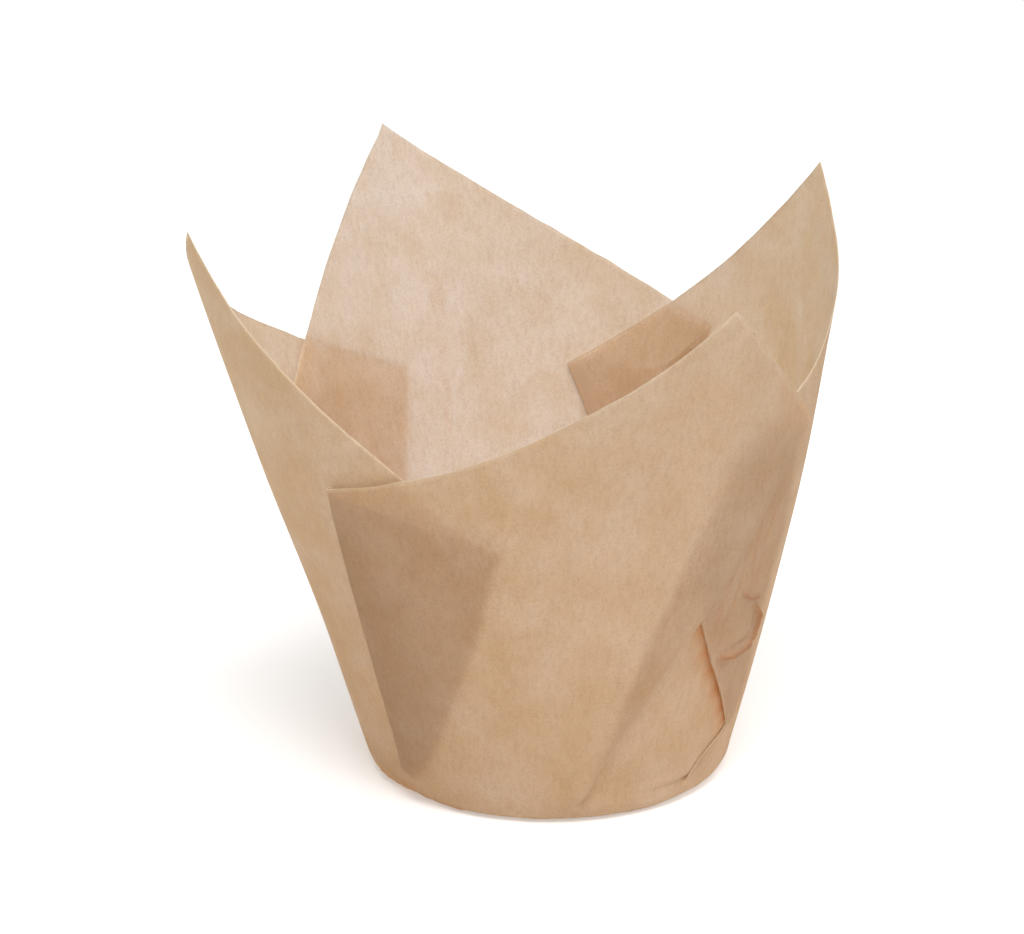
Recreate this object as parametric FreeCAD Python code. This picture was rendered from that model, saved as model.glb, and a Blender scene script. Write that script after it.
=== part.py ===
import FreeCAD, Part
import math
import os

# Paper cupcake liner of the tulip kind, folded from one square sheet. All lengths are millimetres.
# Origin: centre of the underside of the base. +Z is up. Azimuths turn counter-clockwise from +X.

# Driving dimensions of the whole liner
MAIN_SIZES = {
    "sheet_side": 152.0,
    "base_diameter": 50.0,
    "wall_angle": 15.9,
    "corner_radius": 3.0,
    "paper_thickness": 0.15,
    "fold_radius": 0.25,
    "pleat_start": 5.0,
}

# Each petal: azimuth of its tip, how far the tip stands past half the sheet's diagonal, and how far
# the wall leans and curls outward there at the height of the reference
PETAL_SIZES = {
    "front": {"azimuth": 304.5, "extra": -5.1, "lean": 0.3, "curl": -6.3},
    "right": {"azimuth": 23.6, "extra": 2.8, "lean": -3.4, "curl": -3.4},
    "back": {"azimuth": 121.1, "extra": 2.9, "lean": 0.0, "curl": -1.3},
    "left": {"azimuth": 202.6, "extra": 1.8, "lean": 2.7, "curl": 0.3},
}

# Each pleat: azimuth of its foot, azimuths of the tops of its outer and inner folds, and how far
# those tops stand past half the sheet's side
PLEAT_SIZES = {
    "front_left": {"azimuth": 221.5, "outer": 226.1, "outer_extra": 0.3,
                   "inner": 259.6, "inner_extra": -6.3, "lean": 2.0, "curl": 1.7},
    "back_left": {"azimuth": 141.4, "outer": 123.1, "outer_extra": -1.5,
                  "inner": 164.0, "inner_extra": 2.0, "lean": -3.1, "curl": 1.1},
    "back_right": {"azimuth": 42.3, "outer": 50.6, "outer_extra": 6.0,
                   "inner": 84.7, "inner_extra": -2.2, "lean": -2.6, "curl": -4.5},
    "front_right": {"azimuth": 278.0, "outer": 333.8, "outer_extra": 6.5,
                    "inner": 310.8, "inner_extra": 7.5, "lean": -1.4, "curl": -5.5},
}

# Which petal lies outside and which inside at each pleat, and the way round from one to the other
PLEAT_LAYERS = {
    "front_left": ("front", "left", -1),
    "back_left": ("left", "back", -1),
    "back_right": ("back", "right", -1),
    "front_right": ("front", "right", 1),
}

# The pleats on the two sides of each petal: clockwise first
PETAL_PLEATS = {
    "front": ("front_left", "front_right"),
    "right": ("front_right", "back_right"),
    "back": ("back_right", "back_left"),
    "left": ("back_left", "front_left"),
}

# Height on the wall at which lean and curl are given
LEAN_REACH = 80.0
# Width of the riser at the foot of a pleat, and the spare width of each bend there
RISER_WIDTH = 0.5
BEND_SPARE = 0.3
# Shares of pleat_start at which a pleat's middle layer begins to widen and widens evenly
WIDEN_BEGIN = 0.5
WIDEN_EVENLY = 1.5
# Step for slopes of the wall, in degrees and millimetres, and the turn under which a bend is flat
SLOPE_STEP = 0.05
FLAT_TURN = 1e-6

# Rows of the surfaces: steps round the corner at the base, then shares of the wall's height in the
# band where the pleats start and in the band above it
CORNER_STEPS = 3
FOOT_ROWS = (0.0, 0.02, 0.04, 0.06, 0.08, 0.12, 0.20)
UPPER_ROWS = (0.20, 0.45, 0.72, 1.0)
# Columns across a half petal and across the middle layer of a pleat, and flat facets round a bend
PETAL_COLUMNS = 6
MIDDLE_COLUMNS = 4
BEND_FACETS = 2


def fill_sheet(doc):
    """Write every driving dimension to the spreadsheet, one alias each."""
    sheet = doc.addObject("Spreadsheet::Sheet", "Sizes")
    row = 1
    groups = [("", MAIN_SIZES)]
    groups += [(name + "_petal_", sizes) for name, sizes in PETAL_SIZES.items()]
    groups += [(name + "_pleat_", sizes) for name, sizes in PLEAT_SIZES.items()]
    for prefix, sizes in groups:
        for name, value in sizes.items():
            sheet.set("A%d" % row, prefix + name)
            sheet.set("B%d" % row, str(value))
            sheet.setAlias("B%d" % row, prefix + name)
            row += 1
    doc.recompute()
    return sheet


def smooth(share):
    """Ease from 0 to 1."""
    share = min(1.0, max(0.0, share))
    return share * share * (3.0 - 2.0 * share)


def near(angle, reference):
    """The same direction as angle, within half a turn of reference."""
    return reference + (angle - reference + 180.0) % 360.0 - 180.0


def blend(start, end, share):
    """The point at a share of the way from start to end."""
    return tuple(a + (b - a) * share for a, b in zip(start, end))


class Liner:
    """The folded sheet as a surface, worked out from the spreadsheet."""

    def __init__(self, sheet):
        for name in MAIN_SIZES:
            setattr(self, name, float(sheet.get(name)))
        self.radius = self.base_diameter / 2.0
        self.slope = math.radians(self.wall_angle)
        # length that the rounded corner takes from the base and from the wall
        self.corner = self.corner_radius * math.tan((math.pi / 2.0 - self.slope) / 2.0)
        self.petals = self.read_group(sheet, "_petal_", PETAL_SIZES)
        self.pleats = self.read_group(sheet, "_pleat_", PLEAT_SIZES)
        for petal in self.petals.values():
            petal["height"] = self.sheet_side / math.sqrt(2.0) - self.radius + petal["extra"]
        for pleat in self.pleats.values():
            half = self.sheet_side / 2.0 - self.radius
            pleat["outer_height"] = half + pleat["outer_extra"]
            pleat["inner_height"] = half + pleat["inner_extra"]
            pleat["outer"] = near(pleat["outer"], pleat["azimuth"])
            pleat["inner"] = near(pleat["inner"], pleat["azimuth"])
        for name, petal in self.petals.items():
            first, second = PETAL_PLEATS[name]
            start = self.pleats[first]["azimuth"]
            end = near(self.pleats[second]["azimuth"], start + 90.0)
            petal["foot"] = (start + end) / 2.0
            petal["azimuth"] = near(petal["azimuth"], petal["foot"])
        places = list(self.petals.values()) + list(self.pleats.values())
        self.knots = sorted((p["azimuth"] % 360.0, p["lean"], p["curl"]) for p in places)

    def read_group(self, sheet, infix, table):
        """Read one group of named places back from the sheet."""
        group = {}
        for name, sizes in table.items():
            group[name] = {key: float(sheet.get(name + infix + key)) for key in sizes}
        return group

    def lean_and_curl(self, azimuth):
        """Outward lean and curl of the wall at an azimuth, eased between the named places."""
        turn = azimuth % 360.0
        knots = self.knots
        ring = [(knots[-1][0] - 360.0,) + knots[-1][1:]] + knots
        ring.append((knots[0][0] + 360.0,) + knots[0][1:])
        for before, after in zip(ring, ring[1:]):
            if before[0] <= turn <= after[0]:
                share = (turn - before[0]) / (after[0] - before[0])
                ease = (1.0 - math.cos(math.pi * share)) / 2.0
                return blend(before[1:], after[1:], ease)
        return knots[0][1:]

    def wall_point(self, azimuth, height):
        """Middle of the paper at an azimuth and a height along the wall."""
        lean, curl = self.lean_and_curl(azimuth)
        share = (height - self.corner) / LEAN_REACH
        out = self.radius + height * math.sin(self.slope) + lean * share + curl * share * share
        turn = math.radians(azimuth)
        up = self.paper_thickness / 2.0 + height * math.cos(self.slope)
        return FreeCAD.Vector(out * math.cos(turn), out * math.sin(turn), up)

    def wall_frame(self, azimuth, height):
        """Point, outward normal and counter-clockwise direction on the wall."""
        step = SLOPE_STEP
        point = self.wall_point(azimuth, height)
        around = self.wall_point(azimuth + step, height) - self.wall_point(azimuth - step, height)
        upward = self.wall_point(azimuth, height + step) - self.wall_point(azimuth, height - step)
        normal = around.cross(upward).normalize()
        return point, normal, upward.cross(normal).normalize() * -1.0

    def flatten(self, azimuth, height, reference):
        """Place on the unrolled wall."""
        distance = self.radius / math.sin(self.slope) + height
        turn = math.radians(azimuth - reference) * math.sin(self.slope)
        return (distance * math.sin(turn), distance * math.cos(turn))

    def wrap(self, flat, reference):
        """Azimuth and height of a place on the unrolled wall."""
        azimuth = reference + math.degrees(math.atan2(flat[0], flat[1]) / math.sin(self.slope))
        return azimuth, math.hypot(flat[0], flat[1]) - self.radius / math.sin(self.slope)

    def section(self, pleat_name, share):
        """The pleat's cross-section at a share of its height.

        Each bend turns the paper by turn and takes bend of it, and the middle layer takes width.
        The section reaches by advance along the wall and by rise across it.
        """
        pleat = self.pleats[pleat_name]
        top = (pleat["outer_height"] + pleat["inner_height"]) / 2.0 - self.corner
        closing = smooth(share * top / self.pleat_start)
        turn = math.pi * closing
        bend = self.fold_radius * turn + BEND_SPARE * (1.0 - closing)
        full = self.middle_width(pleat_name)
        begin = WIDEN_BEGIN * self.pleat_start / top
        settle = WIDEN_EVENLY * self.pleat_start / top
        if share < begin:
            grown = 0.0
        elif share < settle:
            grown = (share - begin) ** 2 / (2.0 * (settle - begin))
        else:
            grown = share - (begin + settle) / 2.0
        grown /= 1.0 - (begin + settle) / 2.0
        width = RISER_WIDTH + (full - RISER_WIDTH) * grown
        size = {"turn": turn, "bend": bend, "width": width, "advance": 2.0 * bend + width, "rise": 0.0}
        if turn > FLAT_TURN:
            radius = bend / turn
            size["advance"] = 2.0 * radius * math.sin(turn) + width * math.cos(turn)
            size["rise"] = 2.0 * radius * (1.0 - math.cos(turn)) + width * math.sin(turn)
        return size

    def middle_width(self, pleat_name):
        """Width of the middle layer at the rim."""
        pleat = self.pleats[pleat_name]
        level = (pleat["outer_height"] + pleat["inner_height"]) / 2.0
        girth = self.radius + level * math.sin(self.slope)
        return abs(math.radians(pleat["outer"] - pleat["inner"])) * girth

    def pleat_place(self, pleat_name, share, along):
        """Azimuth and height at a signed distance along a pleat's section, from its middle."""
        pleat = self.pleats[pleat_name]
        way = PLEAT_LAYERS[pleat_name][2]
        level = (pleat["outer_height"] + pleat["inner_height"]) / 2.0
        centre = (pleat["outer"] + pleat["inner"]) / 2.0
        foot = self.flatten(pleat["azimuth"], self.corner, pleat["azimuth"])
        head = self.flatten(centre, level, pleat["azimuth"])
        azimuth, height = self.wrap(blend(foot, head, share), pleat["azimuth"])
        girth = self.radius + height * math.sin(self.slope)
        azimuth += way * math.degrees(along / girth)
        tilt = (pleat["outer_height"] - pleat["inner_height"]) / self.middle_width(pleat_name)
        return azimuth, height + share * tilt * along

    def pleat_point(self, pleat_name, share, along, out, lean):
        """Point of the paper in a pleat, and the paper's own normal there."""
        azimuth, height = self.pleat_place(pleat_name, share, along)
        point, normal, around = self.wall_frame(azimuth, height)
        around = around * PLEAT_LAYERS[pleat_name][2]
        return point + normal * out, around * math.sin(lean) + normal * math.cos(lean)

    def bend_point(self, pleat_name, share, part, outer):
        """Point on one of the two round bends, at a part of its turn."""
        size = self.section(pleat_name, share)
        angle = size["turn"] * (part if outer else 1.0 - part)
        if size["turn"] > FLAT_TURN:
            radius = size["bend"] / size["turn"]
            along = radius * math.sin(angle) - size["advance"] / 2.0
            out = size["rise"] / 2.0 - radius * (1.0 - math.cos(angle))
        else:
            along = size["bend"] * (part if outer else 1.0 - part) - size["advance"] / 2.0
            out = 0.0
        side = 1.0 if outer else -1.0
        return self.pleat_point(pleat_name, share, side * along, side * out, angle)

    def middle_point(self, pleat_name, share, part):
        """Point on the middle layer, from the outer fold to the inner one."""
        size = self.section(pleat_name, share)
        along = (part - 0.5) * size["width"] * math.cos(size["turn"])
        out = (0.5 - part) * size["width"] * math.sin(size["turn"])
        return self.pleat_point(pleat_name, share, along, out, size["turn"])

    def petal_point(self, petal_name, pleat_name, share, part):
        """Point on half a petal, from its middle line (part 0) to its fold (part 1)."""
        petal = self.petals[petal_name]
        pleat = self.pleats[pleat_name]
        outer = PLEAT_LAYERS[pleat_name][0] == petal_name
        side = -0.5 if outer else 0.5
        reference = petal["foot"]
        size = self.section(pleat_name, share)
        advance = size["advance"]
        fold = "outer" if outer else "inner"
        fold_azimuth, fold_height = self.pleat_place(pleat_name, share, side * advance)
        foot_advance = self.section(pleat_name, 0.0)["advance"]
        foot_azimuth = self.pleat_place(pleat_name, 0.0, side * foot_advance)[0]
        turn = near(foot_azimuth, reference) - foot_azimuth
        foot = self.flatten(reference + (foot_azimuth + turn - reference) * part, self.corner, reference)
        tip = self.flatten(petal["azimuth"], petal["height"], reference)
        corner = self.flatten(pleat[fold] + turn, pleat[fold + "_height"], reference)
        flat = blend(foot, blend(tip, corner, part), share)
        straight = blend(self.flatten(foot_azimuth + turn, self.corner, reference), corner, share)
        wanted = self.flatten(fold_azimuth + turn, fold_height, reference)
        flat = tuple(f + (w - s) * part for f, w, s in zip(flat, wanted, straight))
        azimuth, height = self.wrap(flat, reference)
        point, normal = self.wall_frame(azimuth, height)[:2]
        # the petal stands at its own layer from its fold to the pleat's other fold, and eases to
        # the wall's own surface at the petal's middle line
        middle_foot = self.flatten(reference, self.corner, reference)
        middle = self.wrap(blend(middle_foot, tip, share), reference)[0]
        other = self.pleat_place(pleat_name, share, -side * advance)[0] + turn
        reach = min(abs(fold_azimuth + turn - middle), abs(other - middle))
        cover = smooth(abs(azimuth - middle) / reach)
        return point - normal * (side * size["rise"] * cover), normal

    def corner_point(self, azimuth, share):
        """Point on the rounded corner below the wall: share 0 on the base, 1 on the wall."""
        angle = (math.pi / 2.0 - self.slope) * share
        turn = math.radians(azimuth)
        out = self.radius - self.corner + self.corner_radius * math.sin(angle)
        up = self.paper_thickness / 2.0 + self.corner_radius * (1.0 - math.cos(angle))
        around = FreeCAD.Vector(math.cos(turn), math.sin(turn), 0.0)
        normal = around * math.sin(angle) - FreeCAD.Vector(0.0, 0.0, math.cos(angle))
        return around * out + FreeCAD.Vector(0.0, 0.0, up), normal


def corner_column(liner, place):
    """Points and normals of one column of the rounded corner, from the base to the wall."""
    foot = place(0.0)[0]
    azimuth = math.degrees(math.atan2(foot.y, foot.x))
    return [liner.corner_point(azimuth, step / float(CORNER_STEPS)) for step in range(CORNER_STEPS + 1)]


def wall_column(liner, place, rows):
    """Points and normals of one column of a band of the wall."""
    points = [place(share) for share in rows]
    if rows[0] == 0.0:
        points[0] = corner_column(liner, place)[-1]
    return points


def spline(points, parameters):
    """Curve through the points at the given parameters: a line for two of them."""
    curve = Part.BSplineCurve()
    if len(points) == 2:
        curve.buildFromPolesMultsKnots(points, [2, 2], parameters, False, 1)
    else:
        curve.interpolate(Points=points, Parameters=parameters)
    return curve


def surface(grid, across, upward):
    """Smooth surface through a grid of points: grid[column][row]."""
    rises = [spline(points, upward) for points in grid]
    rows = zip(*[rise.getPoles() for rise in rises])
    lines = [spline(list(row), across) for row in rows]
    poles = [list(line) for line in zip(*[line.getPoles() for line in lines])]
    result = Part.BSplineSurface()
    result.buildFromPolesMultsKnots(
        poles, lines[0].getMultiplicities(), rises[0].getMultiplicities(),
        lines[0].getKnots(), rises[0].getKnots(), False, False, lines[0].Degree, rises[0].Degree)
    return result


def level_edge(skin, number):
    """Curve along the lower (0) or upper (-1) edge of a surface."""
    return skin.vIso(skin.getVKnots()[number])


def rim_strip(outer, inner):
    """Cut edge of the paper along the rim, between its two faces."""
    curves = [level_edge(outer, -1), level_edge(inner, -1)]
    poles = [list(pair) for pair in zip(*[curve.getPoles() for curve in curves])]
    result = Part.BSplineSurface()
    result.buildFromPolesMultsKnots(
        poles, curves[0].getMultiplicities(), [2, 2],
        curves[0].getKnots(), [0.0, 1.0], False, False, curves[0].Degree, 1)
    return result


def steps(count):
    """Evenly spaced parts from 0 to 1."""
    return [index / (count - 1.0) for index in range(count)]


def paper_strips(liner):
    """Each upright strip of the sheet: the parts of its columns, and a function of part and share."""
    strips = []
    for name, layers in PLEAT_LAYERS.items():
        for petal in layers[:2]:
            strips.append((steps(PETAL_COLUMNS), lambda part, share, petal=petal, name=name:
                           liner.petal_point(petal, name, share, part)))
        strips.append((steps(MIDDLE_COLUMNS), lambda part, share, name=name:
                       liner.middle_point(name, share, part)))
        bounds = steps(BEND_FACETS + 1)
        for side in (True, False):
            for parts in zip(bounds, bounds[1:]):
                strips.append((list(parts), lambda part, share, name=name, side=side:
                               liner.bend_point(name, share, part, side)))
    return strips


def skin_pair(liner, columns, parts, upward):
    """Outer and inner face of the paper through columns of points and normals."""
    half = liner.paper_thickness / 2.0
    pair = []
    for side in (half, -half):
        grid = [[point + normal * side for point, normal in line] for line in columns]
        pair.append(surface(grid, parts, upward))
    return pair


def build_liner(sheet):
    """The folded sheet as one closed solid."""
    liner = Liner(sheet)
    faces = []
    floors = ([], [])
    for parts, place in paper_strips(liner):
        places = [lambda share, part=part: place(part, share) for part in parts]
        columns = [corner_column(liner, spot) for spot in places]
        pair = skin_pair(liner, columns, parts, steps(CORNER_STEPS + 1))
        faces += [skin.toShape() for skin in pair]
        for floor, skin in zip(floors, pair):
            floor.append(level_edge(skin, 0).toShape())
        for rows in (FOOT_ROWS, UPPER_ROWS):
            columns = [wall_column(liner, spot, rows) for spot in places]
            pair = skin_pair(liner, columns, parts, rows)
            faces += [skin.toShape() for skin in pair]
        faces.append(rim_strip(*pair).toShape())
    for edges in floors:
        faces.append(Part.Face(Part.Wire(Part.__sortEdges__(edges))))
    shell = Part.makeShell(faces)
    shell.sewShape()
    solid = Part.makeSolid(shell)
    if solid.Volume < 0.0:
        solid.reverse()
    return solid


def check_and_export(doc):
    """Stop on any failed object or bad shape, then write each sub-part."""
    for item in doc.Objects:
        if "Invalid" in item.State or "Error" in item.State:
            raise RuntimeError("failed object: " + item.Name)
    os.makedirs("parts", exist_ok=True)
    for item in doc.Objects:
        if not item.isDerivedFrom("Part::Feature"):
            continue
        if item.Shape.isNull() or not item.Shape.isValid():
            raise RuntimeError("bad shape: " + item.Label)
        item.Shape.exportStep(os.path.join("parts", item.Label + ".step"))
        print(item.Label, "faces", len(item.Shape.Faces), "solids", len(item.Shape.Solids),
              "volume", round(item.Shape.Volume, 2), "box", item.Shape.BoundBox)


def main():
    doc = FreeCAD.newDocument("CupcakeLiner")
    sheet = fill_sheet(doc)
    liner = doc.addObject("Part::Feature", "Liner")
    liner.Label = "liner"
    liner.Shape = build_liner(sheet)
    liner.Placement = FreeCAD.Placement()
    doc.recompute()
    check_and_export(doc)


main()
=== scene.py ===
import math

import bpy
import numpy as np
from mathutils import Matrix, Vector, noise


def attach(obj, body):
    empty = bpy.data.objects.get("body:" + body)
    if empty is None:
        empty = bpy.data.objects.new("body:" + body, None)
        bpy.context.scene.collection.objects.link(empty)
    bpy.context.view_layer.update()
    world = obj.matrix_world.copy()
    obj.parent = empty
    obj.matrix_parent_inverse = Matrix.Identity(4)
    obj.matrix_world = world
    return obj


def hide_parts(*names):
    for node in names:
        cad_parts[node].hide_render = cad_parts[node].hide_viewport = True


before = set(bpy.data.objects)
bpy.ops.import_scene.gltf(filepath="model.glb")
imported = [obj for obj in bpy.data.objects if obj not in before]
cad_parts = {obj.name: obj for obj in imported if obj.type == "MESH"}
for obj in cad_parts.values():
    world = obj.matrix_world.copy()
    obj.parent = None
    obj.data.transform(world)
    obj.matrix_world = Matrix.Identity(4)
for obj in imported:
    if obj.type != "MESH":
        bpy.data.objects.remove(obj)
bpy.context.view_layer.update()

# Paper cupcake liner folded from one square sheet. Lengths below are millimetres, azimuths are
# degrees counter-clockwise from +X, and heights are measured along the wall.
MM = 0.001

# The folded sheet
SHEET_SIDE = 152.0
BASE_RADIUS = 25.0
WALL_ANGLE = 15.9
CORNER_RADIUS = 3.0
PAPER_THICKNESS = 0.10
# Level of the middle of the paper in the base
MIDDLE_LEVEL = 0.075
# Length along the wall over which the leans and curls below are measured
LEAN_REACH = 80.0
# A pleat closes over its start, and its layers widen from one to the other of these many starts
FOLD_RADIUS = 0.25
PLEAT_START = 5.0
PLEAT_GROWTH = (0.5, 1.5)
RISER_WIDTH = 0.5
BEND_SPARE = 0.3

PETALS = {
    "front": {"azimuth": 304.5, "extra": -5.1, "lean": 0.3, "curl": -6.3},
    "right": {"azimuth": 23.6, "extra": 2.8, "lean": -3.4, "curl": -3.4},
    "back": {"azimuth": 121.1, "extra": 2.9, "lean": 0.0, "curl": -1.3},
    "left": {"azimuth": 202.6, "extra": 1.8, "lean": 2.7, "curl": 0.3},
}
PLEATS = {
    "front_left": {"azimuth": 221.5, "outer": 226.1, "outer_extra": 0.3,
                   "inner": 259.6, "inner_extra": -6.3, "lean": 2.0, "curl": 1.7},
    "back_left": {"azimuth": 141.4, "outer": 123.1, "outer_extra": -1.5,
                  "inner": 166.8, "inner_extra": -1.4, "lean": -3.1, "curl": 1.1},
    "back_right": {"azimuth": 42.3, "outer": 50.6, "outer_extra": 6.0,
                   "inner": 84.7, "inner_extra": -2.2, "lean": -2.6, "curl": -4.5},
    "front_right": {"azimuth": 278.0, "outer": 333.8, "outer_extra": 6.5,
                    "inner": 310.8, "inner_extra": 7.5, "lean": -1.4, "curl": -5.5},
}
# Which petal lies outside and which inside at each pleat, and the way round from one to the other
PLEAT_LAYERS = {
    "front_left": ("front", "left", -1),
    "back_left": ("left", "back", -1),
    "back_right": ("back", "right", -1),
    "front_right": ("front", "right", 1),
}
# The pleats on the two sides of each petal: clockwise first
PETAL_PLEATS = {
    "front": ("front_left", "front_right"),
    "right": ("front_right", "back_right"),
    "back": ("back_right", "back_left"),
    "left": ("back_left", "front_left"),
}

# How far the front pleats' folds bow from straight lines: height, then the outer fold's and the inner
# fold's shift along the wall, counter-clockwise
FOLD_BOWS = {
    "front_left": ((2.3, 0.0, 0.0), (5.0, -0.6, 1.6), (8.5, -0.8, 3.3), (20.0, -0.8, 3.4),
                   (30.0, -0.8, 2.6), (44.0, -0.6, 0.1), (51.0, -0.4, 0.0)),
    "front_right": ((2.3, 0.0, 0.0), (10.0, -2.0, -0.9), (16.0, -3.2, -1.4), (27.0, -4.3, -2.2),
                    (36.0, -3.9, -1.9), (46.0, -3.7, -1.6), (51.0, -3.4, -1.2), (55.0, -1.8, -0.8),
                    (58.0, 0.0, -0.3)),
}
# How far a pleat's middle layer dips below its two folds at the rim
MIDDLE_DIPS = {"back_right": 4.7}

# The small tuck low in the right petal: height, azimuth of its outer fold, azimuth of its inner one
TUCK_FOLDS = (
    (2.3, -44.9, -44.3),
    (4.2, -41.3, -38.7),
    (6.7, -36.6, -33.8),
    (9.5, -26.3, -23.8),
    (14.0, -32.6, -19.4),
    (22.6, -43.8, -22.6),
    (32.8, -53.0, -21.9),
    (39.5, -57.0, -22.5),
    (49.0, -52.0, -26.0),
    (59.0, -46.5, -33.0),
)
TUCK_START = 1.6
# How the radius of the tuck's bends grows with the height
TUCK_BENDS = ((9.5, 0.072), (17.0, 0.18))
TUCK_BEND_SPARE = 0.15
# Least width, in degrees, of the paper inside it that eases back to the petal's level
TUCK_EASE = 4.0

# Counts of columns and rows of the mesh, and places of the base's rings as shares of its radius
PETAL_COLUMNS = 24
MIDDLE_COLUMNS = 10
BEND_COLUMNS = 5
INNER_TUCK_COLUMNS = 10
OUTER_TUCK_COLUMNS = 90
BASE_RINGS = (0.12, 0.3, 0.5, 0.7, 0.86)
CORNER_ROWS = 6
WALL_ROWS = 110
# Where rows and the tucked petal's columns crowd together round the small creases: shares of the
# count, and shares of the way
ROW_PLAN = ((0.0, 0.0), (0.27, 0.32), (0.67, 0.56), (1.0, 1.0))
TUCK_PLAN = ((0.0, 0.0), (0.22, 0.5), (1.0, 1.0))
EVEN_PLAN = ((0.0, 0.0), (1.0, 1.0))

# Small creases: the layer they are in, how wide and how high they stand, how much painted shade
# deepens the paper's tone there, partly the darker tone of crushed fibres, and the places along them,
# each an azimuth and a height
CREASES = (
    ("right_outer", 0.30, 0.75, 0.60, ((-30.1, 29.2), (-25.6, 27.3), (-25.0, 25.6), (-26.2, 23.4),
                                       (-28.9, 22.6), (-36.4, 22.4), (-42.0, 23.2))),
    ("right_outer", 0.35, -0.30, 0.10, ((-28.9, 27.6), (-27.4, 25.4), (-29.4, 23.9), (-36.0, 23.8))),
    ("right_outer", 0.28, 0.50, 0.45, ((-38.4, 32.8), (-34.0, 31.2), (-29.6, 30.6))),
    ("right_outer", 0.50, 0.14, 0.18, ((-46.0, 29.7), (-45.6, 34.0), (-43.6, 39.0))),
    ("right_outer", 0.50, -0.14, 0.12, ((-42.6, 28.4), (-41.0, 33.0), (-39.6, 41.0))),
    ("right_outer", 0.50, 0.14, 0.18, ((-36.3, 35.3), (-37.6, 39.5), (-37.0, 44.5))),
    ("right_outer", 0.50, -0.11, 0.12, ((-33.2, 33.6), (-33.0, 40.0), (-31.0, 46.0))),
    ("back", 0.70, -0.14, 0.10, ((114.0, 38.0), (113.4, 52.0), (113.8, 62.0))),
    ("any", 0.35, 0.20, 0.40, ((-156.0, 2.0), (-148.0, 0.9), (-139.0, 1.5), (-130.0, 0.7),
                               (-119.0, 1.1))),
    ("any", 0.35, -0.15, 0.20, ((-151.0, 3.0), (-143.0, 2.0), (-137.0, 2.4))),
    ("any", 0.35, 0.12, 0.25, ((-64.0, 0.6), (-58.0, 1.0), (-52.0, 0.6))),
)
# Places where the corner of the base is pushed in: azimuth, reach in degrees, and depth; and where
# that begins, comes to its full depth and has ended
DENTS = ((-138.0, 14.0, 0.75), (160.0, 20.0, 0.3))
DENT_FOOT = -1.0
DENT_EASE = 2.0
DENT_HEIGHT = 5.0
# Fine ripples there: waves round the cup, their start, their change with height, and their depth
DENT_RIPPLES = ((17.0, 1.0, 0.0, 0.05), (29.0, 2.0, 1.0, 0.03))
# Slow waves of the wall: waves round the cup, the height for a change of one radian, their start, and
# their depth; and the level where they begin and the height over which they grow
SLOW_WAVES = ((3.0, 17.0, 0.6, 0.35), (5.0, -11.0, 2.1, 0.25), (9.0, 7.0, 4.0, 0.12))
WAVE_FOOT = 4.0
WAVE_GROWTH = 40.0
# The unevenly cut rim: how far it strays, how deep below the rim that is felt, and its scale
RIM_ROUGHNESS = 0.16
RIM_REACH = 1.6
RIM_SCALE = 0.55
# Painted shade beside the tuck's standing fold: its strength, reach, heights and fading length
FOLD_SHADE_STRENGTH = 0.8
FOLD_SHADE_REACH = 1.1
FOLD_SHADE_HEIGHTS = (7.0, 31.0)
FOLD_SHADE_FADE = 3.0

# The paper's own tones, for light sent back and for light let through, and how much they vary
FACE_TONE = (0.868, 0.645, 0.460)
THROUGH_TONE = (0.98, 0.945, 0.845)
TONE_SPREAD = (0.075, 0.138, 0.225)
# Painted light at each petal: how much paler or deeper the paper is painted there, paler where light
# and sheen fall on the back petal, deeper where the side petals lie in shade
PETAL_PAINTED_LIGHT = {"front": -0.02, "right": -0.17, "back": 0.34, "left": -0.20}
# Where the texture's deepest and palest tones lie on its scale
TONE_STOPS = (0.2, 0.9)
# How much of the light goes through the paper, and how it shines
THROUGH_SHARE = 0.64
ROUGHNESS = 0.62
SHINE = 0.3
BUMP_STRENGTH = 0.25
BUMP_DEPTH = 0.0002

# The paper's texture, each part with its scale, detail and roughness
CLOUDS = (130.0, 8.0, 0.64)
FIBRES = (1500.0, 3.0, 0.6)
GRAIN = (3200.0, 2.0, 0.7)
# The fibres lie in two directions, as degrees, and are drawn out along them
FIBRE_TURNS = (52.0, -49.0)
FIBRE_STRETCH = 0.3
FIBRE_SHARE = 0.16
FIBRE_LEVEL = 0.09
# The fine dark grain: its shares of noise and of fibres, where it starts, and how steeply it grows
GRAIN_SHARES = (0.6, 0.4)
GRAIN_START = 0.58
GRAIN_SLOPE = 1.4
# Scattered specks: cells for each metre, a speck's radius in cells, the share of cells that have
# none, and their strength
SPECK_CELLS = 150.0
SPECK_RADIUS = 0.03
SPECK_RARITY = 0.92
SPECK_STRENGTH = 0.5
# How far the texture moves from one layer to the next, and which way
LAYER_SHIFT = 37.0
LAYER_WAY = (1.0, 0.7, 0.4)
# Tones that are mixed in, for light sent back and for light let through: grain, specks, painted shade
# in the creases and beside the tuck's fold, partly crushed fibres in the creases, and a painted highlight
# on the cut rim
GRAIN_TONES = ((0.40, 0.24, 0.14), (0.68, 0.57, 0.45))
SPECK_TONES = ((0.25, 0.13, 0.06), (0.45, 0.30, 0.18))
CREASE_SHADE_TONES = ((0.70, 0.32, 0.12), (0.85, 0.52, 0.25))
RIM_HIGHLIGHT_TONES = ((0.94, 0.80, 0.62), (0.96, 0.92, 0.84))

# The light: an even level, brighter parts of the sky with their directions and the edge where they
# end, the sky's tone, and one soft lamp with its place and size in metres
SKY_LEVEL = 0.03
SKY_SIDES = (
    ((0.0, 0.94, 0.34), 0.24),
    ((0.94, 0.0, 0.34), 0.86),
    ((0.0, 0.0, 1.0), 0.45),
)
SKY_EDGE = 0.2
SKY_TONE = (1.0, 0.99, 0.97)
KEY_WATTS = 5.8
KEY_PLACE = (0.0, -0.46, 0.80)
KEY_AIM = (0.0, 0.0, 0.05)
KEY_SIZE = 0.4

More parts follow.
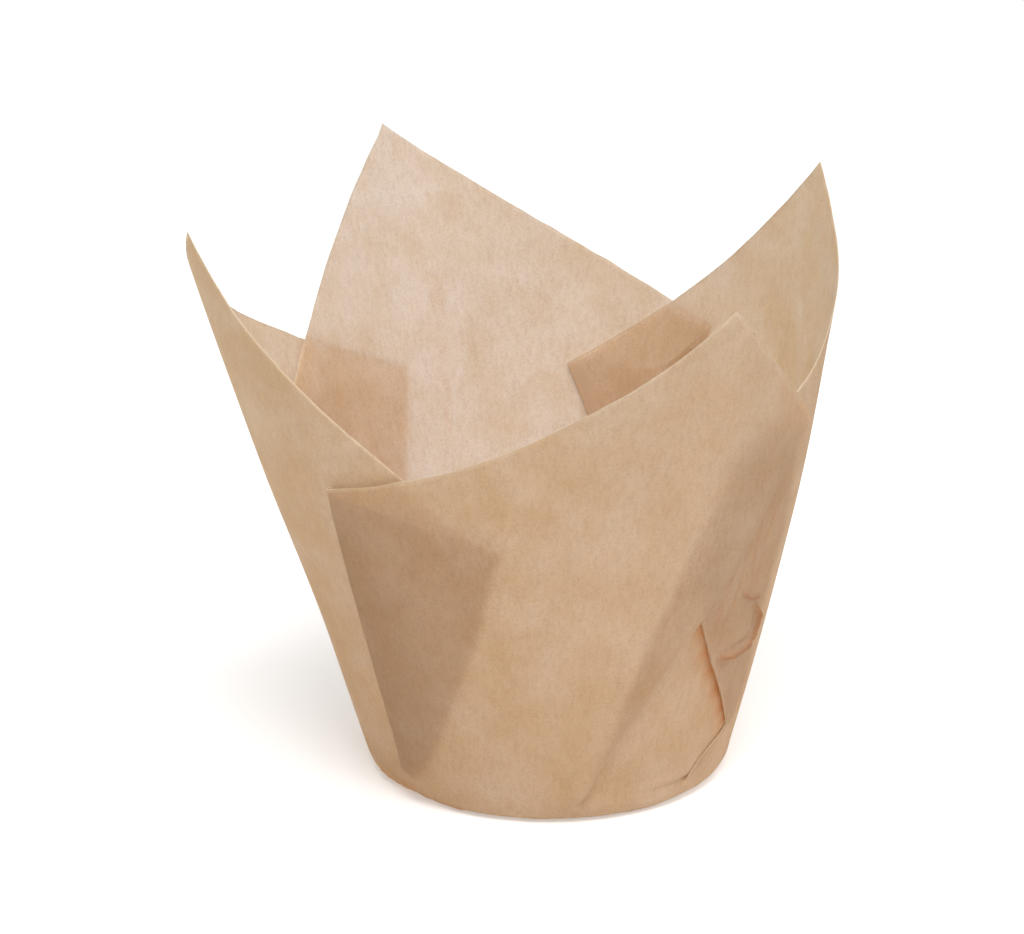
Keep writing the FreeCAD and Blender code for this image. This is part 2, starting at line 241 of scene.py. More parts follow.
# The floor: half its side and its level in metres, its tone, and how much it is lifted to white
FLOOR_HALF = 3.0
FLOOR_LEVEL = -0.00002
FLOOR_TONE = 0.86
FLOOR_LIFT = 0.34


def smooth(share):
    """Ease from 0 to 1."""
    share = np.clip(share, 0.0, 1.0)
    return share * share * (3.0 - 2.0 * share)


def near(angle, reference):
    """The same direction as angle, within half a turn of reference."""
    return reference + (angle - reference + 180.0) % 360.0 - 180.0


def between(start, end, share):
    """A share of the way from start to end."""
    return start + (end - start) * share


def unit(vectors):
    """Vectors of length 1."""
    return vectors / np.maximum(np.linalg.norm(vectors, axis=-1, keepdims=True), 1e-12)


class Liner:
    """The folded sheet as a surface of millimetre points."""

    def __init__(self):
        self.slope = math.radians(WALL_ANGLE)
        self.corner = CORNER_RADIUS * math.tan((math.pi / 2.0 - self.slope) / 2.0)
        self.petals = {name: dict(sizes) for name, sizes in PETALS.items()}
        self.pleats = {name: dict(sizes) for name, sizes in PLEATS.items()}
        for petal in self.petals.values():
            petal["height"] = SHEET_SIDE / math.sqrt(2.0) - BASE_RADIUS + petal["extra"]
        for pleat in self.pleats.values():
            half = SHEET_SIDE / 2.0 - BASE_RADIUS
            pleat["outer_height"] = half + pleat["outer_extra"]
            pleat["inner_height"] = half + pleat["inner_extra"]
            pleat["outer"] = near(pleat["outer"], pleat["azimuth"])
            pleat["inner"] = near(pleat["inner"], pleat["azimuth"])
        for name, petal in self.petals.items():
            first, second = PETAL_PLEATS[name]
            start = self.pleats[first]["azimuth"]
            end = near(self.pleats[second]["azimuth"], start + 90.0)
            petal["foot"] = (start + end) / 2.0
            petal["azimuth"] = near(petal["azimuth"], petal["foot"])
        places = list(self.petals.values()) + list(self.pleats.values())
        knots = sorted((p["azimuth"] % 360.0, p["lean"], p["curl"]) for p in places)
        ring = [(knots[-1][0] - 360.0,) + knots[-1][1:]] + knots
        ring.append((knots[0][0] + 360.0,) + knots[0][1:])
        self.ring = np.array(ring)

    def wall_point(self, azimuth, height):
        """Middle of the paper at an azimuth and a height along the wall."""
        turn = azimuth % 360.0
        spot = np.clip(np.searchsorted(self.ring[:, 0], turn, side="right") - 1, 0, len(self.ring) - 2)
        before = self.ring[spot]
        after = self.ring[spot + 1]
        share = (turn - before[..., 0]) / (after[..., 0] - before[..., 0])
        ease = (1.0 - np.cos(math.pi * share)) / 2.0
        lean = between(before[..., 1], after[..., 1], ease)
        curl = between(before[..., 2], after[..., 2], ease)
        share = (height - self.corner) / LEAN_REACH
        out = BASE_RADIUS + height * math.sin(self.slope) + lean * share + curl * share * share
        up = MIDDLE_LEVEL + height * math.cos(self.slope)
        turn = np.radians(azimuth)
        return np.stack([out * np.cos(turn), out * np.sin(turn), up], axis=-1)

    def wall_frame(self, azimuth, height):
        """Point and outward normal on the wall."""
        step = 0.05
        around = self.wall_point(azimuth + step, height) - self.wall_point(azimuth - step, height)
        upward = self.wall_point(azimuth, height + step) - self.wall_point(azimuth, height - step)
        return self.wall_point(azimuth, height), unit(np.cross(around, upward))

    def flatten(self, azimuth, height, reference):
        """Place on the unrolled wall."""
        distance = BASE_RADIUS / math.sin(self.slope) + height
        turn = np.radians(azimuth - reference) * math.sin(self.slope)
        return np.stack([distance * np.sin(turn), distance * np.cos(turn)], axis=-1)

    def wrap(self, flat, reference):
        """Azimuth and height of a place on the unrolled wall."""
        turn = np.arctan2(flat[..., 0], flat[..., 1]) / math.sin(self.slope)
        distance = np.hypot(flat[..., 0], flat[..., 1])
        return reference + np.degrees(turn), distance - BASE_RADIUS / math.sin(self.slope)

    def girth(self, height):
        """Radius of the plain wall at a height."""
        return BASE_RADIUS + height * math.sin(self.slope)

    def middle_width(self, name):
        """Width of a pleat's middle layer at the rim."""
        pleat = self.pleats[name]
        level = (pleat["outer_height"] + pleat["inner_height"]) / 2.0
        return abs(math.radians(pleat["outer"] - pleat["inner"])) * self.girth(level)

    def section(self, name, share):
        """A pleat's cross-section: turn, width of each bend, layer width, and its whole size."""
        pleat = self.pleats[name]
        top = (pleat["outer_height"] + pleat["inner_height"]) / 2.0 - self.corner
        closing = smooth(share * top / PLEAT_START)
        turn = np.maximum(math.pi * closing, 1e-3)
        bend = FOLD_RADIUS * turn + BEND_SPARE * (1.0 - closing)
        begin, settle = (part * PLEAT_START / top for part in PLEAT_GROWTH)
        grown = np.where(share < settle, (share - begin) ** 2 / (2.0 * (settle - begin)),
                         share - (begin + settle) / 2.0)
        grown = np.where(share < begin, 0.0, grown) / (1.0 - (begin + settle) / 2.0)
        width = between(RISER_WIDTH, self.middle_width(name), grown)
        return (turn, bend, width) + self.folded_size(turn, bend, width)

    def folded_size(self, turn, bend, width):
        """How far a bend, a middle layer and a bend reach along the wall and across it."""
        radius = bend / turn
        advance = 2.0 * radius * np.sin(turn) + width * np.cos(turn)
        rise = 2.0 * radius * (1.0 - np.cos(turn)) + width * np.sin(turn)
        return advance, rise

    def pleat_place(self, name, share, along):
        """Azimuth and height at a signed distance along a pleat's section, from its middle."""
        pleat = self.pleats[name]
        way = PLEAT_LAYERS[name][2]
        level = (pleat["outer_height"] + pleat["inner_height"]) / 2.0
        centre = (pleat["outer"] + pleat["inner"]) / 2.0
        foot = self.flatten(pleat["azimuth"], self.corner, pleat["azimuth"])
        head = self.flatten(centre, level, pleat["azimuth"])
        azimuth, height = self.wrap(between(foot, head, np.asarray(share)[..., None]), pleat["azimuth"])
        azimuth = azimuth + way * np.degrees(along / self.girth(height))
        tilt = (pleat["outer_height"] - pleat["inner_height"]) / self.middle_width(name)
        part = np.clip(0.5 + along / self.section(name, share)[2], 0.0, 1.0)
        if name in FOLD_BOWS:
            bows = np.array(FOLD_BOWS[name])
            outer = np.interp(height, bows[:, 0], bows[:, 1])
            inner = np.interp(height, bows[:, 0], bows[:, 2])
            azimuth = azimuth + np.degrees(between(inner, outer, part) / self.girth(height))
        dip = MIDDLE_DIPS.get(name, 0.0) * np.sin(math.pi * part ** 1.5)
        return azimuth, height + share * (tilt * along - dip)

    def pleat_strips(self, place, sizes, level, share):
        """The three strips of a pleat, from its outer fold's bend to its inner fold's bend."""
        turn, bend, width, advance, rise = sizes
        radius = bend / turn
        strips = []
        angle = np.linspace(0.0, 1.0, BEND_COLUMNS + 1)[:, None] * turn
        along = radius * np.sin(angle) - advance / 2.0
        out = rise / 2.0 - radius * (1.0 - np.cos(angle))
        strips.append((along, out))
        part = np.linspace(0.0, 1.0, MIDDLE_COLUMNS + 1)[:, None]
        strips.append(((part - 0.5) * width * np.cos(turn), (0.5 - part) * width * np.sin(turn)))
        strips.append((-along[::-1], -out[::-1]))
        made = []
        for along, out in strips:
            rows = np.broadcast_to(share, along.shape)
            azimuth, height = place(rows, along)
            point, normal = self.wall_frame(azimuth, height)
            out = out + level(azimuth, rows)
            made.append((point + normal * out[..., None], azimuth, height))
        return made

    def patch(self, share, part, first, last, reference, level):
        """Paper between two edges: each gives its foot, its top and its place at every share."""
        foot = self.flatten(between(first["foot"], last["foot"], part), self.corner, reference)
        top = between(self.flatten(*first["top"], reference), self.flatten(*last["top"], reference),
                      part[..., None])
        row = share[..., None]
        flat = between(foot, top, row)
        for edge, weight in ((first, 1.0 - part), (last, part)):
            low = self.flatten(edge["foot"], self.corner, reference)
            straight = between(low, self.flatten(*edge["top"], reference), row)
            azimuth, height = edge["place"](share)
            flat = flat + (self.flatten(azimuth, height, reference) - straight) * weight[..., None]
        azimuth, height = self.wrap(flat, reference)
        point, normal = self.wall_frame(azimuth, height)
        return point + normal * level(azimuth, share)[..., None], azimuth, height

    def fold_edge(self, name, outer, reference):
        """The edge where a petal ends at a pleat's outer or inner fold."""
        pleat = self.pleats[name]
        side = -0.5 if outer else 0.5
        fold = "outer" if outer else "inner"
        low = self.pleat_place(name, 0.0, side * self.section(name, np.float64(0.0))[3])[0]
        turn = near(low, reference) - low

        def place(share):
            azimuth, height = self.pleat_place(name, share, side * self.section(name, share)[3])
            return azimuth + turn, height

        return {"foot": low + turn, "top": (pleat[fold] + turn, pleat[fold + "_height"]),
                "place": place, "turn": turn}

    def middle_edge(self, petal_name):
        """The middle line of a petal, from its foot to its tip."""
        petal = self.petals[petal_name]
        reference = petal["foot"]
        low = self.flatten(reference, self.corner, reference)
        tip = self.flatten(petal["azimuth"], petal["height"], reference)

        def place(share):
            return self.wrap(between(low, tip, share[..., None]), reference)

        return {"foot": reference, "top": (petal["azimuth"], petal["height"]), "place": place}

    def petal_level(self, petal_name, pleat_name):
        """How far a petal stands off the wall, as a function of azimuth and share."""
        outer = PLEAT_LAYERS[pleat_name][0] == petal_name
        side = -0.5 if outer else 0.5
        reference = self.petals[petal_name]["foot"]
        edge = self.fold_edge(pleat_name, outer, reference)
        line = self.middle_edge(petal_name)

        def level(azimuth, share):
            advance, rise = self.section(pleat_name, share)[3:]
            own = edge["place"](share)[0]
            other = self.pleat_place(pleat_name, share, -side * advance)[0] + edge["turn"]
            middle = line["place"](share)[0]
            reach = np.minimum(np.abs(own - middle), np.abs(other - middle))
            return -side * rise * smooth(np.abs(azimuth - middle) / reach)

        return level


class Tuck:
    """The small wedge-shaped tuck in the right petal, beside the front right pleat."""

    def __init__(self, liner):
        self.liner = liner
        self.reference = liner.petals["right"]["foot"]
        self.folds = np.array(TUCK_FOLDS)
        self.way = -1
        self.top = self.folds[-1, 0]
        self.shift = near(self.folds[-1, 1], self.reference) - self.folds[-1, 1]
        self.base_level = liner.petal_level("right", "front_right")

    def centre(self, share):
        """Azimuth and height of the tuck's middle line."""
        height = between(self.liner.corner, self.top, share)
        outer = np.interp(height, self.folds[:, 0], self.folds[:, 1])
        inner = np.interp(height, self.folds[:, 0], self.folds[:, 2])
        return (outer + inner) / 2.0 + self.shift, height, np.radians(inner - outer)

    def section(self, share):
        """Turn, width of each bend, layer width, and whole size of the tuck."""
        height, spread = self.centre(share)[1:]
        closing = smooth((height - self.liner.corner) / TUCK_START)
        turn = np.maximum(math.pi * closing, 1e-3)
        bends = np.array(TUCK_BENDS)
        radius = np.interp(height, bends[:, 0], bends[:, 1])
        bend = radius * turn + TUCK_BEND_SPARE * (1.0 - closing)
        width = spread * self.liner.girth(height)
        return (turn, bend, width) + self.liner.folded_size(turn, bend, width)

    def place(self, share, along):
        """Azimuth and height at a signed distance from the tuck's middle line."""
        azimuth, height = self.centre(share)[:2]
        return azimuth + self.way * np.degrees(along / self.liner.girth(height)), height

    def edge(self, outer):
        """The edge where the petal ends at the tuck's outer or inner fold."""
        side = -0.5 if outer else 0.5

        def place(share):
            return self.place(share, side * self.section(share)[3])

        low = place(np.float64(0.0))[0]
        return {"foot": low, "top": place(np.float64(1.0)), "place": place}

    def middle_level(self, azimuth, share):
        """Level of the tuck's own section: under the petal's."""
        return self.base_level(azimuth, share) - self.section(share)[4] / 2.0

    def inner_level(self, azimuth, share):
        """Level of the petal inside the tuck, up to the front right pleat's inner fold."""
        fold = self.liner.fold_edge("front_right", False, self.reference)["place"](share)[0]
        outer = self.edge(True)["place"](share)[0]
        reach = np.maximum(np.abs(outer - fold), TUCK_EASE)
        return self.base_level(azimuth, share) - self.section(share)[4] * smooth((azimuth - fold) / reach)


def half_petal(liner, petal_name, pleat_name, share, count):
    """Half a petal from its middle line to its fold."""
    reference = liner.petals[petal_name]["foot"]
    outer = PLEAT_LAYERS[pleat_name][0] == petal_name
    part = np.linspace(0.0, 1.0, count + 1)[:, None]
    rows = np.broadcast_to(share, (count + 1, share.size))
    part = np.broadcast_to(part, rows.shape)
    return liner.patch(rows, part, liner.middle_edge(petal_name),
                       liner.fold_edge(pleat_name, outer, reference), reference,
                       liner.petal_level(petal_name, pleat_name))


def reverse(strip):
    """The same strip with its columns in the other order."""
    return tuple(values[::-1] for values in strip)


def tucked_half(liner, share):
    """The right petal from its middle line to the front right pleat, with the tuck in it."""
    tuck = Tuck(liner)
    reference = tuck.reference
    strips = []
    edges = (
        (liner.middle_edge("right"), tuck.edge(True), tuck.base_level, OUTER_TUCK_COLUMNS, TUCK_PLAN),
        (tuck.edge(False), liner.fold_edge("front_right", False, reference), tuck.inner_level,
         INNER_TUCK_COLUMNS, EVEN_PLAN),
    )
    for first, last, level, count, plan in edges:
        rows = np.broadcast_to(share, (count + 1, share.size))
        plan = np.array(plan)
        part = np.interp(np.linspace(0.0, 1.0, count + 1), plan[:, 0], plan[:, 1])
        part = np.broadcast_to(part[:, None], rows.shape)
        strips.append(liner.patch(rows, part, first, last, reference, level))
    folded = liner.pleat_strips(tuck.place, tuck.section(share), tuck.middle_level, share)
    names = ["right_outer", "tuck", "tuck", "tuck", "right_inner"]
    return list(zip(names, [strips[0]] + folded + [strips[1]]))


def flat_level(azimuth, share):
    """A pleat's section stands on the wall itself."""
    return np.zeros_like(azimuth)


def paper_strips(liner, share):
    """Every upright strip of the sheet, in order round the sheet, each named."""
    strips = []
    for petal_name in ("front", "right", "back", "left"):
        first, second = PETAL_PLEATS[petal_name]
        if petal_name == "right":
            strips += [(name, reverse(strip)) for name, strip in reversed(tucked_half(liner, share))]
        else:
            strips.append((petal_name, reverse(half_petal(liner, petal_name, first, share,
                                                          PETAL_COLUMNS))))
        strips.append((petal_name, half_petal(liner, petal_name, second, share, PETAL_COLUMNS)))

        def place(rows, along, second=second):
            return liner.pleat_place(second, rows, along)

        folded = liner.pleat_strips(place, liner.section(second, share), flat_level, share)
        if PLEAT_LAYERS[second][0] != petal_name:
            folded = [reverse(strip) for strip in reversed(folded)]
        strips += [(second, strip) for strip in folded]
    return strips


def sheet_grid(liner):
    """Points of the paper's middle: columns round the sheet, rows from the base's rim upward."""
    plan = np.array(ROW_PLAN)
    share = np.interp(np.linspace(0.0, 1.0, WALL_ROWS + 1), plan[:, 0], plan[:, 1])
    points = []
    azimuths = []
    heights = []
    names = []
    for name, (point, azimuth, height) in paper_strips(liner, share):
        points.append(point[:-1])
        azimuths.append(azimuth[:-1])
        heights.append(height[:-1])
        names += [name] * (len(point) - 1)
    return np.concatenate(points), np.concatenate(azimuths), np.concatenate(heights), names


def base_and_corner(liner, wall):
    """Rows of the base and its rounded corner below each column of the wall, and their heights."""
    turn = np.arctan2(wall[:, 0, 1], wall[:, 0, 0])
    around = np.stack([np.cos(turn), np.sin(turn), np.zeros_like(turn)], axis=-1)
    rows = []
    heights = []
    rim = BASE_RADIUS - liner.corner
    for ring in BASE_RINGS:
        rows.append(around * (rim * ring) + np.array([0.0, 0.0, MIDDLE_LEVEL]))
        heights.append(rim * (ring - 1.0))
    for step in range(CORNER_ROWS):
        heights.append(liner.corner * step / CORNER_ROWS)
        angle = (math.pi / 2.0 - liner.slope) * step / CORNER_ROWS
        out = rim + CORNER_RADIUS * math.sin(angle)
        up = MIDDLE_LEVEL + CORNER_RADIUS * (1.0 - math.cos(angle))
        rows.append(around * out + np.array([0.0, 0.0, up]))
    return np.stack(rows, axis=1), np.degrees(turn), np.array(heights)


def normals_of(grid):
    """Normals of a grid of points whose columns close on themselves."""
    around = np.roll(grid, -1, axis=0) - np.roll(grid, 1, axis=0)
    upward = np.empty_like(grid)
    upward[:, 1:-1] = grid[:, 2:] - grid[:, :-2]
    upward[:, 0] = grid[:, 1] - grid[:, 0]
    upward[:, -1] = grid[:, -1] - grid[:, -2]
    return unit(np.cross(around, upward))


def rolling(points):
    """Slow waves of the pressed paper: the same for every layer at one place."""
    turn = np.arctan2(points[..., 1], points[..., 0])
    level = points[..., 2]
    wave = 0.0
    for count, length, start, depth in SLOW_WAVES:
        wave = wave + np.sin(count * turn + level / length + start) * depth
    return wave * smooth((level - WAVE_FOOT) / WAVE_GROWTH)


def distance_to_line(azimuth, height, places):
    """Distance along the wall from every point of the grid to a line through places."""
    nearest = np.full(azimuth.shape, 1e9)
    girth = BASE_RADIUS + height * math.sin(math.radians(WALL_ANGLE))
    for start, end in zip(places, places[1:]):
        east = np.radians(near(azimuth, start[0]) - start[0]) * girth
        north = height - start[1]
        reach = BASE_RADIUS + start[1] * math.sin(math.radians(WALL_ANGLE))
        along = np.array([math.radians(end[0] - start[0]) * reach, end[1] - start[1]])
        share = np.clip((east * along[0] + north * along[1]) / along.dot(along), 0.0, 1.0)
        gap = np.hypot(east - along[0] * share, north - along[1] * share)
        nearest = np.minimum(nearest, gap)
    return nearest


def creased(grid, azimuth, height, names):
    """The grid with its small creases pressed in, and how much painted shade each point gets from them.
    """
    normal = normals_of(grid)
    layer = np.array(names)[:, None]
    mark = np.zeros(azimuth.shape)
    for name, width, ridge, painted_shade, places in CREASES:
        press = np.exp(-(distance_to_line(azimuth, height, places) / width) ** 2)
        if name != "any":
            press = press * (layer == name)
        grid = grid + normal * (press * ridge)[..., None]
        # Painted shade along the creases, partly the darker tone of crushed fibres
        mark = np.maximum(mark, press * painted_shade)
    return grid, mark


def dented(grid, azimuth, height):
    """The grid with the corner of the base pushed in here and there."""
    away = unit(grid * np.array([1.0, 1.0, 0.0]))
    window = smooth((height - DENT_FOOT) / DENT_EASE) * (1.0 - smooth(height / DENT_HEIGHT))
    push = np.zeros(azimuth.shape)
    for place, reach, depth in DENTS:
        push = push + depth * np.exp(-((near(azimuth, place) - place) / reach) ** 2)
    turn = np.radians(azimuth)
    for count, start, change, depth in DENT_RIPPLES:
        push = push + depth * np.sin(count * turn + start + change * height)
    return grid - away * (push * window)[..., None]


def rough_rim(grid, height):
    """The grid with an unevenly cut rim."""
    upward = unit(grid[:, -1] - grid[:, -2])
    wave = np.array([noise.fractal(Vector(point) * RIM_SCALE, 1.0, 2.0, 4) for point in grid[:, -1]])
    reach = smooth(1.0 - (height[:, -1:] - height) / RIM_REACH)
    return grid + upward[:, None] * (wave[:, None] * reach * RIM_ROUGHNESS)[..., None]


def fold_painted_shade(liner, azimuth, height, names):
    """Painted shade on the inner layer, close beside the tuck's standing fold."""
    folds = np.array(TUCK_FOLDS)
    fold = np.interp(height, folds[:, 0], folds[:, 1])
    girth = BASE_RADIUS + height * math.sin(liner.slope)
    gap = np.radians(fold - near(azimuth, fold)) * girth
    low, high = FOLD_SHADE_HEIGHTS
    painted_shade = FOLD_SHADE_STRENGTH * np.exp(-np.maximum(gap, 0.0) / FOLD_SHADE_REACH)
    painted_shade = painted_shade * smooth((height - low) / FOLD_SHADE_FADE) * (1.0 - smooth((height - high) / FOLD_SHADE_FADE))
    return painted_shade * (gap > -FOLD_SHADE_FADE) * (np.array(names)[:, None] == "right_inner")


def texture_places(grid, height, names):
    """Places for the paper's texture: those of the points, moved apart from one layer to the next."""
    layers = sorted(set(names))
    shift = np.array([layers.index(name) * LAYER_SHIFT for name in names])
    shift = shift[:, None] * (height > 0.0)
    return grid + shift[..., None] * np.array(LAYER_WAY)


def build_mesh(name, grid, places, marks):
    """A closed thin sheet of paper round a grid of middle points."""
    normal = normals_of(grid)
    half = PAPER_THICKNESS / 2.0
    columns, rows = grid.shape[:2]
    outer = grid + normal * half
    inner = grid - normal * half
    centre = np.array([[0.0, 0.0, MIDDLE_LEVEL - half], [0.0, 0.0, MIDDLE_LEVEL + half]])
    vertices = np.concatenate([outer.reshape(-1, 3), inner.reshape(-1, 3), centre]) * MM
    count = columns * rows
    faces = []
    for column in range(columns):
        here = column * rows
        there = (column + 1) % columns * rows
        for row in range(rows - 1):
            faces.append((here + row, there + row, there + row + 1, here + row + 1))
            faces.append((count + here + row, count + here + row + 1,
                          count + there + row + 1, count + there + row))
        faces.append((here + rows - 1, there + rows - 1, count + there + rows - 1,
                      count + here + rows - 1))
        faces.append((2 * count, there, here))
        faces.append((2 * count + 1, count + here, count + there))
    mesh = bpy.data.meshes.new(name)
    mesh.from_pydata(vertices.tolist(), [], faces)
    mesh.validate()
    for mark, grades in marks.items():
        attribute = mesh.attributes.new(mark, "FLOAT", "POINT")
        values = np.concatenate([grades.ravel(), grades.ravel(), np.zeros(len(centre))])
        attribute.data.foreach_set("value", values.astype(np.float32))
    attribute = mesh.attributes.new("sheet", "FLOAT_VECTOR", "POINT")
    flat = places.reshape(-1, 3)
    values = np.concatenate([flat, flat, np.zeros((len(centre), 3))]) * MM
    attribute.data.foreach_set("vector", values.ravel().astype(np.float32))
    # The cut rim's faces, which the material paints lighter as a painted highlight
    cut = np.zeros(len(faces))
    cut[2 * (rows - 1)::2 * rows + 1] = 1.0
    attribute = mesh.attributes.new("cut", "FLOAT", "FACE")
    attribute.data.foreach_set("value", cut.astype(np.float32))
    mesh.polygons.foreach_set("use_smooth", [True] * len(mesh.polygons))
    piece = bpy.data.objects.new(name, mesh)
    bpy.context.scene.collection.objects.link(piece)
    return piece


def paper_material():
    """Unbleached greaseproof paper: thin, mottled, and lit through."""
    material = bpy.data.materials.new("greaseproof_paper")
    material.use_nodes = True
    nodes = material.node_tree.nodes
    links = material.node_tree.links
    nodes.clear()
    place = nodes.new("ShaderNodeAttribute")
    place.attribute_name = "sheet"

    def noise_field(scale, detail, roughness, turn=0.0, stretch=1.0):
        spin = nodes.new("ShaderNodeMapping")
        spin.inputs["Rotation"].default_value = (0.0, math.radians(turn), 0.0)
        spin.inputs["Scale"].default_value = (1.0, 1.0, stretch)
        links.new(place.outputs["Vector"], spin.inputs["Vector"])
        field = nodes.new("ShaderNodeTexNoise")
        field.inputs["Scale"].default_value = scale
        field.inputs["Detail"].default_value = detail
        field.inputs["Roughness"].default_value = roughness
        links.new(spin.outputs["Vector"], field.inputs["Vector"])
        return field.outputs["Fac"]

    def math_node(operation, first, second, third=None):
        node = nodes.new("ShaderNodeMath")
        node.operation = operation
        for socket, value in zip(node.inputs, (first, second, third)):
            if isinstance(value, float):
                socket.default_value = value
            elif value is not None:
                links.new(value, socket)
        return node.outputs[0]

    def ramp(factor, tone, spread, stops):
        node = nodes.new("ShaderNodeValToRGB")
        for element, stop, side in zip(node.color_ramp.elements, stops, (-1.0, 1.0)):
            element.position = stop
            shade = [min(1.0, value * (1.0 + side * part)) for value, part in zip(tone, spread)]
            element.color = (*shade, 1.0)
        links.new(factor, node.inputs["Fac"])
        return node.outputs["Color"]

    def mix(factor, first, tone):
        node = nodes.new("ShaderNodeMix")
        node.data_type = "RGBA"
        node.clamp_factor = True
        links.new(factor, node.inputs["Factor"])
        links.new(first, node.inputs["A"])
        node.inputs["B"].default_value = (*tone, 1.0)
        return node.outputs["Result"]

    clouds = noise_field(*CLOUDS)
    fibres = math_node("MAXIMUM", *(noise_field(*FIBRES, turn, FIBRE_STRETCH) for turn in FIBRE_TURNS))
    mottle = math_node("MULTIPLY_ADD", fibres, FIBRE_SHARE, math_node("SUBTRACT", clouds, FIBRE_LEVEL))
    # Painted light and shade for each petal, added to the mottle
    petals = nodes.new("ShaderNodeAttribute")
    petals.attribute_name = "petal_painted_light"
    mottle = math_node("ADD", mottle, petals.outputs["Fac"])
    fine, drawn = GRAIN_SHARES
    grain = math_node("MULTIPLY_ADD", noise_field(*GRAIN), fine, math_node("MULTIPLY", fibres, drawn))
    grain = math_node("MULTIPLY", math_node("SUBTRACT", GRAIN_START, grain), GRAIN_SLOPE)

    cells = nodes.new("ShaderNodeTexVoronoi")
    cells.feature = "F1"
    cells.inputs["Scale"].default_value = SPECK_CELLS
    links.new(place.outputs["Vector"], cells.inputs["Vector"])
    speck = math_node("LESS_THAN", cells.outputs["Distance"], SPECK_RADIUS)
    chosen = nodes.new("ShaderNodeSeparateColor")
    links.new(cells.outputs["Color"], chosen.inputs["Color"])
    rare = math_node("GREATER_THAN", chosen.outputs["Red"], SPECK_RARITY)
    speck = math_node("MULTIPLY", math_node("MULTIPLY", speck, rare), SPECK_STRENGTH)

    # Painted shade along the creases and beside the tuck's fold
    creases = nodes.new("ShaderNodeAttribute")
    creases.attribute_name = "crease_shade"
    # The cut rim's faces, which get a painted highlight
    rim = nodes.new("ShaderNodeAttribute")
    rim.attribute_name = "cut"

    tones = []
    for side, plain in enumerate((FACE_TONE, THROUGH_TONE)):
        tone = ramp(mottle, plain, TONE_SPREAD, TONE_STOPS)
        tone = mix(grain, tone, GRAIN_TONES[side])
        tone = mix(speck, tone, SPECK_TONES[side])
        # Painted shade in the creases, then a painted highlight on the cut rim
        tone = mix(creases.outputs["Fac"], tone, CREASE_SHADE_TONES[side])
        tones.append(mix(rim.outputs["Fac"], tone, RIM_HIGHLIGHT_TONES[side]))

    bump = nodes.new("ShaderNodeBump")
    bump.inputs["Strength"].default_value = BUMP_STRENGTH
    bump.inputs["Distance"].default_value = BUMP_DEPTH
    links.new(mottle, bump.inputs["Height"])

    face = nodes.new("ShaderNodeBsdfPrincipled")
    face.inputs["Roughness"].default_value = ROUGHNESS
    face.inputs["Specular IOR Level"].default_value = SHINE
    links.new(tones[0], face.inputs["Base Color"])
    links.new(bump.outputs["Normal"], face.inputs["Normal"])

    through = nodes.new("ShaderNodeBsdfTranslucent")
    links.new(tones[1], through.inputs["Color"])
    links.new(bump.outputs["Normal"], through.inputs["Normal"])

    mixed = nodes.new("ShaderNodeMixShader")
    mixed.inputs["Fac"].default_value = THROUGH_SHARE
    links.new(face.outputs[0], mixed.inputs[1])
    links.new(through.outputs[0], mixed.inputs[2])
    output = nodes.new("ShaderNodeOutputMaterial")
    links.new(mixed.outputs[0], output.inputs["Surface"])
    return material


def add_camera():
    """The photograph's view: a long lens looking down a little."""
    elevation = math.radians(18.2)
    distance = 472.6
    target = Vector((-5.05, 0.0, 42.66))
    back = Vector((0.0, -math.cos(elevation), math.sin(elevation)))
    data = bpy.data.cameras.new("camera")
    data.sensor_fit = "HORIZONTAL"
    data.sensor_width = 36.0
    data.lens = 119.97
    data.clip_start = 0.01
    data.clip_end = 20.0
    camera = bpy.data.objects.new("camera", data)
    camera.location = (target + back * distance) * MM
    camera.rotation_euler = (math.pi / 2.0 - elevation, 0.0, 0.0)
    bpy.context.scene.collection.objects.link(camera)
    bpy.context.scene.camera = camera


def seen_directly(nodes, links):
    """A value that is 1 for what the eye, a mirror or glass looks at, and 0 for scattered light."""
    path = nodes.new("ShaderNodeLightPath")
    first = nodes.new("ShaderNodeMath")
    first.operation = "MAXIMUM"
    links.new(path.outputs["Is Camera Ray"], first.inputs[0])
    links.new(path.outputs["Is Glossy Ray"], first.inputs[1])
    second = nodes.new("ShaderNodeMath")
    second.operation = "MAXIMUM"
    links.new(first.outputs[0], second.inputs[0])
    links.new(path.outputs["Is Transmission Ray"], second.inputs[1])
    third = nodes.new("ShaderNodeMath")
    third.operation = "SUBTRACT"
    third.use_clamp = True
    links.new(second.outputs[0], third.inputs[0])
    links.new(path.outputs["Is Diffuse Ray"], third.inputs[1])
    return third.outputs[0]


